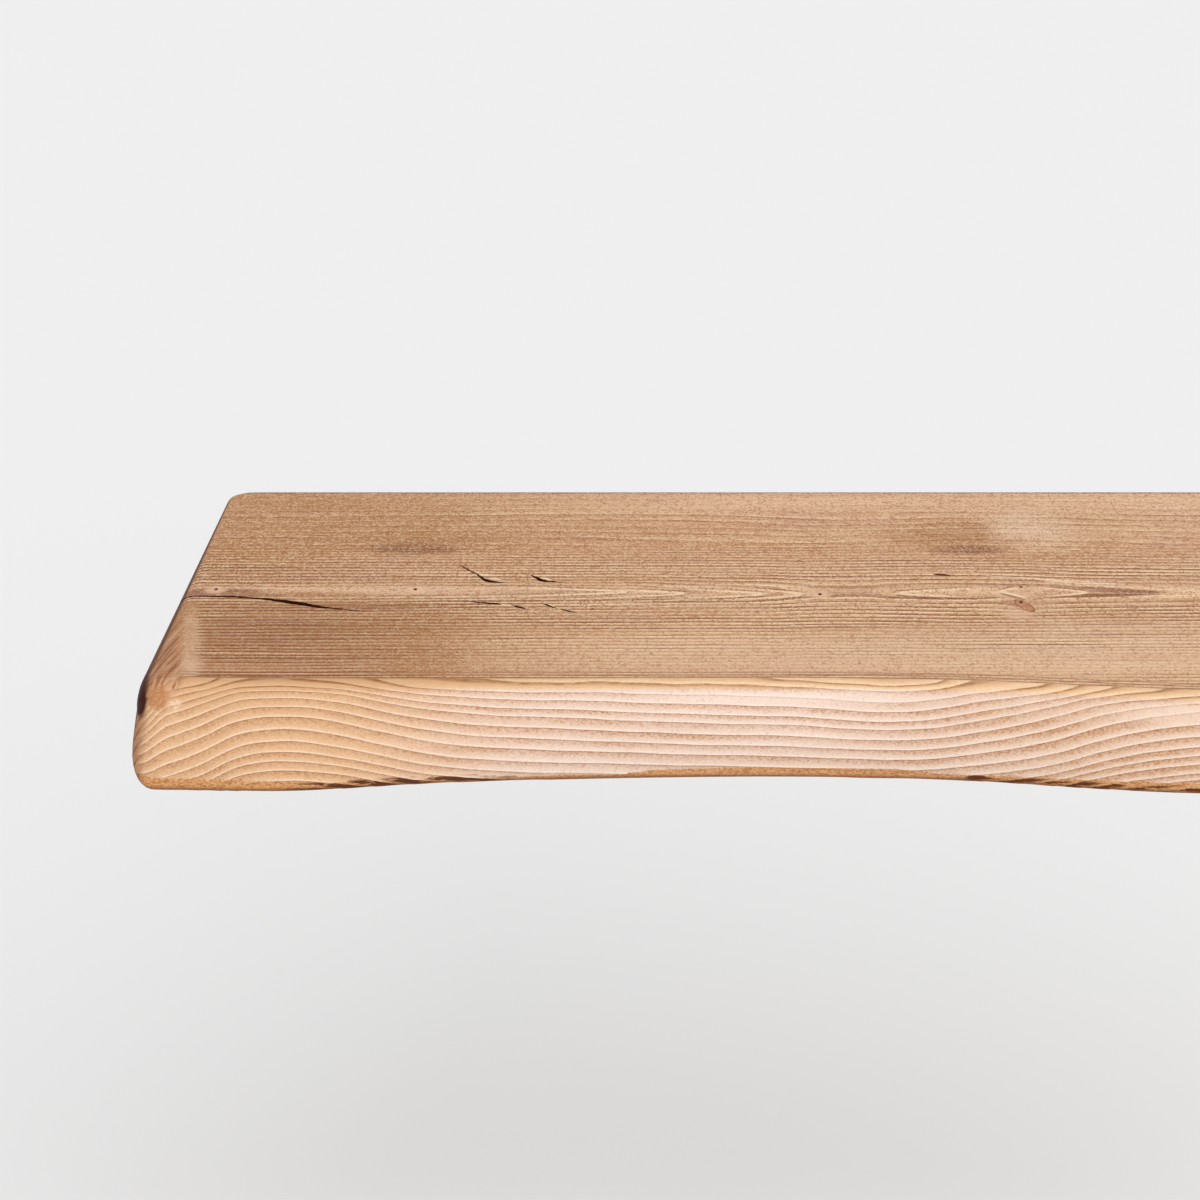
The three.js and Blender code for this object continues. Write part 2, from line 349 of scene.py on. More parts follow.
def punched_plate(name, outlines, back, front, edge_radius):
    """A flat plate between two planes along Y, with holes and rounded edges."""
    curve = bpy.data.curves.new(name, "CURVE")
    curve.dimensions = "2D"
    curve.fill_mode = "BOTH"
    curve.extrude = (back - front) / 2 - edge_radius
    curve.bevel_depth = edge_radius
    curve.bevel_resolution = 2
    curve.offset = -edge_radius
    for outline in outlines:
        spline = curve.splines.new("POLY")
        spline.points.add(len(outline) - 1)
        spline.use_cyclic_u = True
        for point, (x, z) in zip(spline.points, outline):
            point.co = (x, z, 0, 1)
    shape = bpy.data.objects.new(name, curve)
    bpy.context.scene.collection.objects.link(shape)
    flat = shaped_mesh(shape)
    points = [(v.co.x, (back + front) / 2 - v.co.z, v.co.y) for v in flat.vertices]
    faces = [tuple(face.vertices) for face in flat.polygons]
    bpy.data.objects.remove(shape)
    return new_piece(name, points, faces)


def new_group(name, places, readings):
    """A shader node group with named places coming in and named readings going out."""
    group = bpy.data.node_groups.new(name, "ShaderNodeTree")
    for names, way, kind in ((places, "INPUT", "Vector"), (readings, "OUTPUT", "Float")):
        for socket in names:
            group.interface.new_socket(socket, in_out=way, socket_type=f"NodeSocket{kind}")
    return group, group.nodes.new("NodeGroupInput").outputs


def steel_skin_group():
    """The skin of drawn or plated steel: a slow cloud, fine scratches and small dull marks."""
    group, given = new_group("steel_skin", ["Place", "Drawn"], ["Cloud", "Scratches", "Marks"])
    place = given["Place"]
    spots = add_node(group, "ShaderNodeTexVoronoi", {"Vector": place, "Scale": 420.0})
    outputs = {
        "Cloud": noise(place, 90.0, 4.0),
        "Scratches": noise(stretched(place, given["Drawn"]), 1.0, 3.0),
        "Marks": Reading(spots.outputs["Distance"]).ramp(0.05, 0.16, 1.0, 0.0),
    }
    add_node(group, "NodeGroupOutput", outputs)
    return group


def steel(name, dull, bright, drawn, gloss):
    """A steel finish whose colour and gloss vary with its cloud, scratches and marks."""
    material, place = new_finish(name)
    inputs = {"Place": place, "Drawn": drawn}
    skin = add_node(place.id_data, "ShaderNodeGroup", inputs, node_tree=steel_skin)
    cloud, scratches, marks = (Reading(skin.outputs[k]) for k in ("Cloud", "Scratches", "Marks"))
    shine = scratches * 0.6 + cloud * 0.4
    colour = tint(shine, (*dull, 1), (*bright, 1))
    colour = tint(marks * 0.35, colour, (0.2, 0.2, 0.21, 1))
    roughness = shine.ramp(0.25, 0.75, gloss[1], gloss[0]) + marks * 0.12
    finish(colour, roughness, bump(scratches, 0.35, 0.02 * mm), Metallic=1.0)
    return material


steel_skin = steel_skin_group()
plate_zinc = steel(
    "plate_zinc", (0.44, 0.46, 0.48), (0.66, 0.67, 0.68), drawn=(60.0, 900.0, 2600.0), gloss=(0.24, 0.42)
)
for side in supports:
    node = f"{side}_wall_plate"
    low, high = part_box(node)
    centre_x = (low.x + high.x) / 2
    hole = spigot_radius + spigot_clearance
    outlines = [
        rounded(high.x - low.x, high.z - low.z, plate_corner_radius, centre_x),
        rounded(2 * hole, 2 * hole, hole, centre_x),
    ]
    for slot_x in (centre_x - slot_spacing / 2, centre_x + slot_spacing / 2):
        outlines.append(rounded(slot_length, slot_width, slot_width / 2, slot_x))
    plate = punched_plate(f"{node}_strip", outlines, high.y, low.y, plate_edge_radius)
    fit(plate, plate_zinc, node, "wall_supports")

# Support rods
# Each rod is bright drawn 12 mm steel bar, chamfered at its tip so that the board starts easily.
# Its rear end is turned down to a spigot, which is pressed through the plate and riveted.
rod_chamfer = 1.5 * mm
rod_tip_break = 0.3 * mm
seat_gap = 0.3 * mm
centre = 0.001 * mm

rod_bright = steel(
    "rod_bright", (0.50, 0.50, 0.51), (0.72, 0.72, 0.72), drawn=(2600.0, 55.0, 2600.0), gloss=(0.16, 0.34)
)
for side in supports:
    node = f"{side}_support_rod"
    centre_x, radius, tip, end = span(node)
    shoulder = -plate_thickness - seat_gap
    profile = [
        (centre, tip),
        (radius - rod_chamfer - rod_tip_break, tip),
        (radius - rod_chamfer, tip + rod_tip_break / 3),
        (radius - rod_tip_break / 3, tip + rod_chamfer),
        (radius, tip + rod_chamfer + rod_tip_break),
        (radius, shoulder - rod_tip_break),
        (radius - rod_tip_break, shoulder),
        (spigot_radius, shoulder),
        (spigot_radius, end - rod_tip_break),
        (spigot_radius - rod_tip_break, end),
        (centre, end),
    ]
    rod = turned(f"{node}_bar", profile, centre_x, segments=72)
    fit(rod, rod_bright, node, "wall_supports")

# Washers
# Plain flat washers, punched from zinc-plated steel strip, sit between screw heads and plates.
washer_edge_radius = 0.2 * mm

washer_zinc = steel(
    "washer_zinc", (0.42, 0.44, 0.47), (0.64, 0.66, 0.68), drawn=(900.0, 200.0, 900.0), gloss=(0.22, 0.4)
)
for node in fixings("washer"):
    centre_x, outer, start, end = span(node)
    inner = screw_radius + screw_clearance
    profile = [(inner, start), (outer, start), (outer, end), (inner, end)]
    washer = turned(f"{node}_ring", profile, centre_x, segments=64, closed=True)
    soften(washer, washer_edge_radius)
    fit(washer, washer_zinc, node, "wall_supports")

# Wall screws
# Pan-head screws of zinc-plated steel with a cross recess. The shank is plain under the head, and
# the rest carries a rolled thread that runs out to a gimlet point.
head_height = 3.4 * mm
head_edge = 1.1 * mm
head_edge_radius = 0.12 * mm
crown_steps = 12
recess_width = 5 * mm
recess_blade = 1.1 * mm
recess_depth = 2 * mm
plain_shank = 12 * mm
point_length = 8 * mm
thread_pitch = 2.2 * mm
thread_root = 1.7 * mm
thread_segments = 24
thread_shares = (0.0, 0.38, 0.5, 0.62)


def screw_shank(name, centre_x, start, end):
    """The threaded part of a screw: rows of points that wind along the helix."""
    rows = (int((end - start) / thread_pitch) + 3) * len(thread_shares)
    points, faces = [], []
    for row in range(rows):
        turn, part = divmod(row, len(thread_shares))
        for step in range(thread_segments):
            along = start + (turn - 1 + thread_shares[part] + step / thread_segments) * thread_pitch
            along = min(max(along, start), end)
            run_in = min(1, (along - start) / thread_pitch)
            crest = thread_root + (screw_radius - thread_root) * run_in if part == 2 else thread_root
            radius = crest * min(1, (end - along) / point_length) + centre
            angle = 2 * math.pi * step / thread_segments
            points.append((centre_x + radius * math.cos(angle), along, radius * math.sin(angle)))
    for row in range(rows - 1):
        for step in range(thread_segments):
            here = row * thread_segments + step
            beside = here + 1
            if step + 1 == thread_segments:
                beside = (row + len(thread_shares)) * thread_segments
            if beside + thread_segments < len(points):
                faces.append((here, here + thread_segments, beside + thread_segments, beside))
    points.append((centre_x, start, 0))
    faces += [(step, step + 1, len(points) - 1) for step in range(thread_segments)]
    return new_piece(name, points, faces)


def screw_head(name, centre_x, top, radius):
    """A crowned head with a cross recess, and the plain shank under it."""
    seat = top + head_height
    profile = [(centre, top)]
    for step in range(1, crown_steps + 1):
        angle = step / crown_steps * math.pi / 2
        crown = (head_height - head_edge) * (1 - math.cos(angle))
        profile.append((radius * math.sin(angle), top + crown))
    profile += [(radius, seat), (screw_radius, seat), (screw_radius, seat + plain_shank)]
    shank_end = seat + plain_shank
    profile += [(thread_root, shank_end + thread_pitch / 2), (centre, shank_end + thread_pitch)]
    head = turned(name, profile, centre_x)
    halves = (recess_width / 2, recess_blade / 2)
    cut_cross(head, centre_x, halves, top - recess_depth, top + recess_depth)
    soften(head, head_edge_radius)
    return head


screw_zinc = steel(
    "screw_zinc", (0.42, 0.45, 0.48), (0.66, 0.68, 0.70), drawn=(1500.0, 300.0, 1500.0), gloss=(0.2, 0.36)
)
for node in fixings("wall_screw"):
    centre_x, radius, top, tip = span(node)
    thread_start = top + head_height + plain_shank
    shank = screw_shank(f"{node}_thread", centre_x, thread_start, tip)
    for piece in (screw_head(f"{node}_head", centre_x, top, radius), shank):
        fit(piece, screw_zinc, node, "wall_supports")

# Shelf board
# One 40 mm slab of softwood, sawn beside its heart and brushed, sanded and oiled. Its front is
# the live edge with the bark off, where the hard rings stand proud, and bores in its back take
# the rods. Heart checks have opened in the top, and a long one runs out at the left end.
board_length = 800
board_thickness = 40
board_depth = 216
rear_arris = 1.5
bottom_arris = 5
belly_bulge = 2.5
front_arris = np.array([6, 3.5])
corner_arris = np.array([12, 6])
corner_reach = 26
end_radii = {"top rear": 3, "top front": 12, "bottom": 8, "front": 10, "rear": 12}
left_skew = 5
skew_reach = 120
reach_places = np.array(
    [0, 0.075, 0.145, 0.2225, 0.319, 0.395, 0.4575, 0.506, 0.575, 0.6625, 0.75, 0.8375, 0.925, 1]
)
top_reach = np.array(
    [0.926, 0.931, 0.931, 0.931, 0.931, 0.94, 0.963, 0.979, 0.981, 0.958, 0.935, 0.926, 0.94, 0.958]
)
bottom_reach = np.array(
    [0.986, 0.991, 0.963, 0.947, 0.942, 0.956, 0.986, 1, 0.991, 0.963, 0.949, 0.958, 0.981, 0.991]
)
station_spacing = 2
end_stations = 14
top_rows = 30
belly_rows = 92
arris_rows = {"rear": 3, "front": 12, "bottom": 8}
bottom_rows = 16

# Boxes of the bake map, and how much larger than its length each side of the slab is laid there.
# The walls and floors of pockets, bores and checks lie in rows below the slab.
slab_box = (0.002, 0.135, 0.998, 0.998)
end_boxes = ((0.003, 0.003, 0.24, 0.122), (0.25, 0.003, 0.487, 0.122))
map_weights = (0.6, 1.0, 1.0, 2.2, 2.2, 1.6, 0.5)
cutter_middle, cutter_shift, cutter_width = 0.56, 0.06, 0.1
pocket_floor_row, pocket_wall_row, bore_row = (0.003, 0.058), (0.064, 0.09), (0.096, 0.122)
bore_tip_box = (0.102, 0.096, 0.105, 0.1)
check_wall_span, check_end_span = (0.74, 0.99), (0.993, 0.997)
check_row_start, check_row_pitch, check_row_height = 0.003, 0.017, 0.013

# The rings that the live edge cuts, counted from the top: how deep each one lies where the board
# is calm, and how far the whole pattern is lifted at places along the board.
ring_depths = (-14, -10, -6.5, 0, 4.5, 8.8, 12.3, 16.9, 21.4, 25.9, 31.2, 35.9, 40, 43.5, 47, 51)
ring_lifts = np.array(
    [
        (-400, 1.5), (-387, 3.5), (-373, 8.5), (-358, 15.5), (-340, 17.5), (-321, 15), (-306, 11),
        (-291, 7), (-269, 3.3), (-224, 0), (-157, -2.2), (-105, -3), (-75, 2), (-54, 7.8),
        (-39, 13.4), (-18, 19), (10, 22.5), (60, 17), (110, 8), (160, 1.5), (220, -1), (270, 1),
        (310, 6), (345, 12), (375, 7), (400, -4),
    ]
)
# Rings draw together near the top, over a height that grows toward the left end. One that has run
# out onto the top rises slowly, and where the pattern dips its upper rings dip more. At the very
# end all of them drop a little.
crowding, left_crowding = 5, 4
left_crowding_start, left_crowding_run = -200, 100
rise_share = 0.15
upper_dip, dip_fade = 1.5, 60
end_drop, end_drop_start, end_drop_run = 0.3, -384, 16
outer_ring_pitch, least_ring_pitch = 3, 0.2
# Each wave of the rings: its length along the board, its height, its start and its size.
ring_waves = ((17, 9, 0, 0.15), (7.3, -5, 1.3, 0.1), (3.1, 2.3, 0, 0.05))
front_zone, front_fade = 14, 8
ledge_depth = 0.38
ledge_undercut = 0.12
ledge_end_fade = (3, 34)


def smooth_line(at, places, values):
    """A smooth curve through some values, level at both ends."""
    slopes = np.diff(values) / np.diff(places)
    tangents = np.concatenate([[0], (slopes[1:] + slopes[:-1]) / 2, [0]])
    part = np.clip(np.searchsorted(places, at, "right") - 1, 0, len(slopes) - 1)
    run = np.diff(places)[part]
    t = (at - places[part]) / run
    near = (1 + 2 * t) * (1 - t) ** 2 * values[part] + t * (1 - t) ** 2 * run * tangents[part]
    far = t * t * (3 - 2 * t) * values[part + 1] + t * t * (t - 1) * run * tangents[part + 1]
    return near + far


def smooth_step(value, low, high):
    """Goes smoothly from 0 to 1 while the value goes from low to high."""
    share = np.clip((value - low) / (high - low), 0, 1)
    return share * share * (3 - 2 * share)


def roll(distance, radius):
    """How far a rounded end falls away, at a distance from the end."""
    into = np.clip(radius - distance, 0, None)
    return radius - np.sqrt(radius**2 - into**2)


def ring_height(x, depth):
    """How high a ring lies on the live edge. One that has run out onto the top lies over it."""
    places, lifts = ring_lifts.T
    lift = smooth_line(np.clip(x, places[0], places[-1]), places, lifts)
    over = depth - lift * np.where(lift > 0, 1, upper_dip - depth / dip_fade)
    spread = crowding + left_crowding * smooth_step(left_crowding_start - x, 0, left_crowding_run)
    below, above = (spread * np.logaddexp(0, way * over / spread) for way in (1, -1))
    height = board_thickness / 2 - below + rise_share * above
    dropping = end_drop * smooth_step(end_drop_start - x, 0, end_drop_run)
    return height - dropping * (height + board_thickness / 2)


def edge_ring(x, z):
    """The count of rings down the live edge, which is whole on each dark line."""
    level = z
    for length, height, start, size in ring_waves:
        level = level + np.sin(x / length + start + z / height) * size
    lines = [ring_height(x, depth) for depth in ring_depths]
    count = np.clip((lines[0] + outer_ring_pitch - level) / outer_ring_pitch, 0, 1)
    for above, below in zip(lines[:-1], lines[1:]):
        count = count + np.clip((above - level) / np.maximum(above - below, least_ring_pitch), 0, 1)
    return count + np.clip((lines[-1] - level) / outer_ring_pitch, 0, 2)


def ledge(ring):
    """The height of the brushed edge over one ring: a step in under each dark line, then out."""
    share = ring % 1
    under = 1 - smooth_step(share, 0, ledge_undercut)
    out = np.clip((share - ledge_undercut) / (1 - ledge_undercut), 0, 1) ** 1.5
    return np.where(share < ledge_undercut, under, out)


def lerp(start, end, share):
    """The place at a share of the way from start to end."""
    return start + (end - start) * share


def arris(centre_y, centre_z, radius_y, radius_z, quarter, rows):
    """Points of a quarter of an ellipse, for every station at once."""
    angle = (quarter + np.arange(rows + 1) / rows) * math.pi / 2
    return centre_y + radius_y * np.cos(angle), centre_z + radius_z * np.sin(angle)


def board_mesh():
    """The slab, section by section along its length, with the ledges of its live edge."""
    inner = int((board_length / 2 - corner_reach) / station_spacing)
    quarter = np.arange(end_stations) / end_stations * math.pi / 2
    near_end = board_length / 2 - corner_reach * (1 - np.cos(quarter))
    even = np.arange(-inner, inner + 1) * float(station_spacing)
    x = np.concatenate([-near_end, even, near_end[::-1]])[:, None]
    distance, place = board_length / 2 - np.abs(x), x / board_length + 0.5
    bottom = -board_thickness / 2 + roll(distance, end_radii["bottom"])
    back = -roll(distance, end_radii["rear"])
    tuck = roll(distance, end_radii["front"])
    upper = tuck - board_depth * smooth_line(place, reach_places, top_reach)
    lower = tuck - board_depth * smooth_line(place, reach_places, bottom_reach)
    corner = np.clip(1 - distance / corner_reach, 0, None) ** 2
    arris_depth, arris_height = (lerp(f, c, corner) for f, c in zip(front_arris, corner_arris))

    def top_height(share):
        radius = lerp(end_radii["top rear"], end_radii["top front"], share)
        return board_thickness / 2 - roll(distance, radius)

    upper_end, lower_end = top_height(1) - arris_height, bottom + bottom_arris
    rear, front = back - rear_arris, upper + arris_depth
    across = np.arange(1, top_rows)[None, :] / top_rows
    down = np.arange(1, belly_rows)[None, :] / belly_rows
    along_bottom = np.arange(1, bottom_rows)[None, :] / bottom_rows
    bow = belly_bulge * 4 * down * (1 - down)
    parts = [
        arris(rear, bottom + rear_arris, rear_arris, rear_arris, 3, arris_rows["rear"]),
        arris(rear, top_height(0) - rear_arris, rear_arris, rear_arris, 0, arris_rows["rear"]),
        (lerp(rear, front, across), top_height(across)),
        arris(front, upper_end, arris_depth, arris_height, 1, arris_rows["front"]),
        (lerp(upper, lower, down) - bow, lerp(upper_end, lower_end, down)),
        arris(lower + bottom_arris, lower_end, bottom_arris, bottom_arris, 2, arris_rows["bottom"]),
        (lerp(lower + bottom_arris, rear, along_bottom), bottom + 0 * along_bottom),
    ]
    y = np.concatenate([part[0] for part in parts], 1)
    z = np.concatenate([part[1] + 0 * part[0] for part in parts], 1)
    skew = left_skew * np.clip(1 - (board_length / 2 + x) / skew_reach, 0, 1)
    x = x + skew * (1 + y / board_depth)
    sunk = (1 - ledge(edge_ring(x, z))) * edge_share(x, y, z, below=0.4, over=4)
    y += ledge_depth * sunk * smooth_step(distance, *ledge_end_fade)
    stations, around = y.shape
    points = np.stack([x, y, z], 2).reshape(-1, 3) * mm
    here = np.arange((stations - 1) * around).reshape(-1, around)
    beside = np.roll(here, -1, 1)
    quads = np.stack([here, beside, beside + around, here + around], 2).reshape(-1, 4)
    last = (stations - 1) * around
    ends = [list(range(around))[::-1], list(range(last, last + around))]
    slab = bare_piece("board_slab", points, quads.tolist() + ends)

    # The bake map: the slab unrolled in one piece, its seen sides larger, over its two ends.
    grid = points.reshape(stations, around, 3)
    steps = np.linalg.norm(np.diff(grid, axis=0), axis=2).mean(1)
    middle = np.vstack([grid[stations // 2], grid[stations // 2, :1]])
    girth = np.linalg.norm(np.diff(middle, axis=0), axis=1)
    girth *= np.repeat(map_weights, [part[0].shape[1] for part in parts])
    u, v = (np.concatenate([[0], np.cumsum(run)]) / run.sum() for run in (steps, girth))
    u, v = in_box(slab_box, u, v)
    rows = np.stack([v[:-1], v[1:], v[1:], v[:-1]], 1)[None].repeat(stations - 1, 0)
    columns = np.stack([u[:-1], u[:-1], u[1:], u[1:]], 1)[:, None].repeat(around, 1)
    corners = [np.stack([columns, rows], 3).reshape(-1, 2)]
    corners += [flat_in_box(box, points[end]) for box, end in zip(end_boxes, ends)]
    lay_out(slab, np.vstack(corners))
    return slab


def in_box(box, across, up):
    """Where shares of a box's width and height lie on the bake map."""
    return box[0] + (box[2] - box[0]) * across, box[1] + (box[3] - box[1]) * up


def flat_in_box(box, outline):
    """A flat face laid in a box of the bake map, seen along its thinnest direction."""
    outline = np.array(outline)
    first, second = np.sort(np.argsort(np.ptp(outline, axis=0))[1:])
    shares = (outline - outline.min(0)) / np.maximum(np.ptp(outline, axis=0), 1e-9)
    return np.stack(in_box(box, shares[:, first], shares[:, second]), 1)


def lay_out(piece, corners):
    """Gives a piece its bake map, from a place for each corner of each face."""
    piece.data.uv_layers.new(name="OFBake").uv.foreach_set("vector", corners.astype(np.float32).ravel())


def edge_start(x):
    """Where the live edge begins under the top, along the board."""
    return -board_depth * smooth_line(x / board_length + 0.5, reach_places, top_reach)


def front_share(x, y):
    """How much a point belongs to the front, and not to what lies behind it."""
    return smooth_step(edge_start(x) + front_zone - y, 0, front_fade)


def edge_share(x, y, z, below, over):
    """How much a point belongs to the live edge, and not to a sawn face."""
    return front_share(x, y) * smooth_step(board_thickness / 2 - below - z, 0, over)


def prism(outline_rows, side_box, floor_box):
    """A closed cutter through rows of as many points each, with its place on the bake map."""
    around = len(outline_rows[0])
    faces = [tuple(range(around))[::-1]]
    for row in range(len(outline_rows) - 1):
        for k in range(around):
            here, beside = row * around + k, row * around + (k + 1) % around
            faces.append((here, beside, beside + around, here + around))
    last = (len(outline_rows) - 1) * around
    faces.append(tuple(range(last, last + around)))
    points = np.array(outline_rows).reshape(-1, 3) * mm
    cutter = bare_piece("cutter", points, faces)
    shares = [np.linspace(0, 1, count) for count in (around + 1, len(outline_rows))]
    u, v = in_box(side_box, *shares)
    floors = [flat_in_box(floor_box, points[list(faces[number])]) for number in (0, -1)]
    rows = [(v[row], v[row], v[row + 1], v[row + 1]) for row in range(len(outline_rows) - 1)]
    columns = [(u[k], u[k + 1], u[k + 1], u[k]) for k in range(around)]
    sides = [pair for row in rows for column in columns for pair in zip(column, row)]
    lay_out(cutter, np.vstack([floors[0], sides, floors[1]]))
    clean_up(cutter)
    return cutter


def pocket_cutter(centre_x, left):
    """What the router takes out of the rear edge for a plate and its screw heads."""
    outline = rounded(pocket_width, pocket_height, pocket_corner, centre_x)
    rows = [[(x, y, z) for x, z in outline] for y in (cut_overrun, -pocket_depth)]
    right = left + cutter_width
    boxes = [(left, low, right, high) for low, high in (pocket_wall_row, pocket_floor_row)]
    return prism(rows, *boxes)


def bore_cutter(centre_x, left):
    """What the drill takes out for a rod, with the cone of its point."""
    turns = np.arange(bore_segments) * 2 * math.pi / bore_segments
    rows = []
    for radius, y in (
        (bore_radius, -cut_overrun),
        (bore_radius, -bore_depth),
        (bore_tip_radius, -bore_depth - bore_point),
    ):
        rows.append([(centre_x + radius * math.cos(a), y, radius * math.sin(a)) for a in turns])
    wall_box = (left, bore_row[0], left + cutter_width, bore_row[1])
    tip_box = (left + bore_tip_box[0], bore_tip_box[1], left + bore_tip_box[2], bore_tip_box[3])
    return prism(rows, wall_box, tip_box)


def check_cutter(path, depth, seed):
    """The opening of a heart check: a ragged wedge that follows a path on the top."""
    chance = np.random.default_rng(seed)
    path = np.array(path)
    run = np.concatenate([[0], np.cumsum(np.hypot(*np.diff(path[:, :2], axis=0).T))])
    at = np.linspace(0, run[-1], max(6, int(run[-1] / check_step)))
    x, y, width = (np.interp(at, run, path[:, k]) for k in range(3))
    ragged = chance.normal(0, check_raggedness, (2, len(at)))
    top = board_thickness / 2
    rows = []
    for k in range(len(at)):
        half = width[k] / 2 + least_check_half
        deep = top - depth * min(1, 0.25 + width[k] / path[:, 2].max())
        near, far = (half + ragged[way, k] * min(1, width[k]) for way in (0, 1))
        section = [
            (-near * 1.1, top + check_overrun),
            (-near * 0.9, top - check_lip),
            (ragged[0, k], deep),
            (far * 0.9, top - check_lip),
            (far * 1.1, top + check_overrun),
        ]
        rows.append([(x[k], y[k] + across, up) for across, up in section])
    low = check_row_start + check_row_pitch * seed
    high = low + check_row_height
    return prism(rows, *((start, low, end, high) for start, end in (check_wall_span, check_end_span)))


pocket_width, pocket_height, pocket_corner = 73, 28, 5
pocket_depth = 10.4
bore_radius, bore_depth, bore_point = 6.35, 139, 3.8
bore_tip_radius = 0.01
bore_segments = 48
cut_overrun = 2
rod_spacing = 480
check_step, check_overrun, check_lip = 1.1, 1, 0.6
check_raggedness, least_check_half = 0.14, 0.02
end_check_depth, small_check_depth = 10, 4
# The path of each check on the top, with its width at each place.
end_check = [
    (-403, -119.6, 1.7), (-393, -119.8, 1.5), (-380, -120.2, 1.4), (-373, -120.6, 1.9),
    (-366, -121.8, 1.3), (-358, -123.4, 2.1), (-351, -125.4, 3.1), (-344, -128, 3.2),
    (-337, -130.8, 2.3), (-332, -132, 1.3), (-327, -133.2, 0.9), (-321, -134.6, 0.7),
    (-315, -135.4, 0.1),
]
small_checks = [
    [
        (-283, -88, 0.9), (-279.6, -92.5, 1.2), (-276, -96.5, 1.1), (-274, -100, 2.4),
        (-271.8, -103.4, 3), (-269.5, -105, 2.6), (-266, -105.8, 1.3), (-263, -106, 0.2),
    ],
    [
        (-253, -98.4, 0.9), (-251, -100.4, 2.2), (-249.6, -102.4, 3.2), (-247.8, -104, 2.6),
        (-245, -104.8, 1.3), (-241, -105.6, 0.9), (-237, -106, 0.1),
    ],
    [
        (-279, -124.9, 0.3), (-273.5, -126.4, 1.1), (-269.4, -126.9, 1.4), (-265.7, -127.8, 1.9),
        (-264, -128.4, 0.3),
    ],
    [(-260, -128.6, 0.4), (-257.5, -130.3, 1.7), (-255.4, -131.8, 1.5), (-253, -133.2, 0.2)],
    [(-248, -127.4, 0.4), (-245.4, -128.8, 1.4), (-243.2, -130.8, 1.3), (-241.2, -132.4, 0.2)],
    [(-240, -132.8, 0.4), (-237.7, -134.4, 1.6), (-235.4, -135.4, 1), (-233, -135.8, 0.2)],
]

# The heart of the tree runs just over the top face. It dips away to the right and comes back by
# the knot, so its innermost rings end there in long nested points.
pith_y = -115.5
pith_rise = [
    (-400, 0.5), (-300, 0.8), (-262, 1.5), (-213, 4), (-189, 6.6), (-156, 9.2), (-141, 11.8),
    (-122, 12.9), (-103, 11.8), (-64, 10.6), (-46, 10.8), (-25, 11.8), (30, 12.6), (85, 9.2),
    (150, 6), (205, 9.2), (260, 12.4), (320, 11.8), (360, 8), (400, 7),
]
most_rise = 16
slow_bend, quick_bend = 6, 1.3
ring_drift = 1.5
first_ring, ring_pitch = 4.0, 3.0
wide_growth_y, wide_growth = -68, 0.55
# Each knot: its place on the top, how far it bends the rings, and its reach along the grain.
knots = [(-53, -127, 3.4, 2.2), (-382, -113, 1.2, 2.0), (-300, -113, 1.3, 2.0), (-134, -118, 1.2, 2.5)]


def split(place):
    """The three coordinates of a place."""
    parts = add_node(place.id_data, "ShaderNodeSeparateXYZ", {0: place})
    return [Reading(part) for part in parts.outputs]


def cells(place, sizes, detail=2.0, roughness=0.5):
    """Cloudy noise whose cells have the given length, depth and height in millimetres."""
    return noise(stretched(place, [1 / size for size in sizes]), 1.0, detail, roughness)


def turned_place(place, degrees):
    """A place turned about the vertical."""
    inputs = {"Vector": place, "Rotation": (0, 0, math.radians(degrees))}
    return add_node(place.id_data, "ShaderNodeMapping", inputs).outputs[0]


def spot(x, y, centre_x, centre_y, reach_x, reach_y):
    """1 in the middle of a soft oval spot, 0 outside it."""
    across = (x - centre_x) / reach_x
    along = (y - centre_y) / reach_y
    return (across * across + along * along).ramp(1, 0)


def spots(x, y, ovals):
    """The sum of some soft oval spots, each with its middle, its reaches and its strength."""
    total = 0
    for *oval, strength in ovals:
        total = spot(x, y, *oval) * strength + total
    return total


def sliver(x, y, from_x, from_y, to_x, to_y, half=0.9):
    """1 along a thin streak that is pointed at both of its ends, 0 outside it."""
    run_x, run_y = to_x - from_x, to_y - from_y
    length = math.hypot(run_x, run_y)
    along = (x - from_x) * (run_x / length**2) + (y - from_y) * (run_y / length**2)
    across = ((y - from_y) * (run_x / length) - (x - from_x) * (run_y / length)) / half
    return ((1 - along) * along * 4 - across * across).ramp(0, 0.6)


def ring_point(x, y, tip_x, tip_y, reach, half):
    """A heart ring that ends in a point on the top: its pale rim, its brown line and its inside."""
    along = (x - tip_x) / reach
    fade = along.ramp(-0.03, 0.03) * along.ramp(1, 0.25)
    gap = (y - tip_y).upright() - along.held() ** 0.7 * half
    rim = gap.upright().ramp(1.3, 0.3)
    return rim * fade, (gap - 1.8).upright().ramp(1.0, 0.2) * fade, gap.ramp(-1, -2.5) * fade


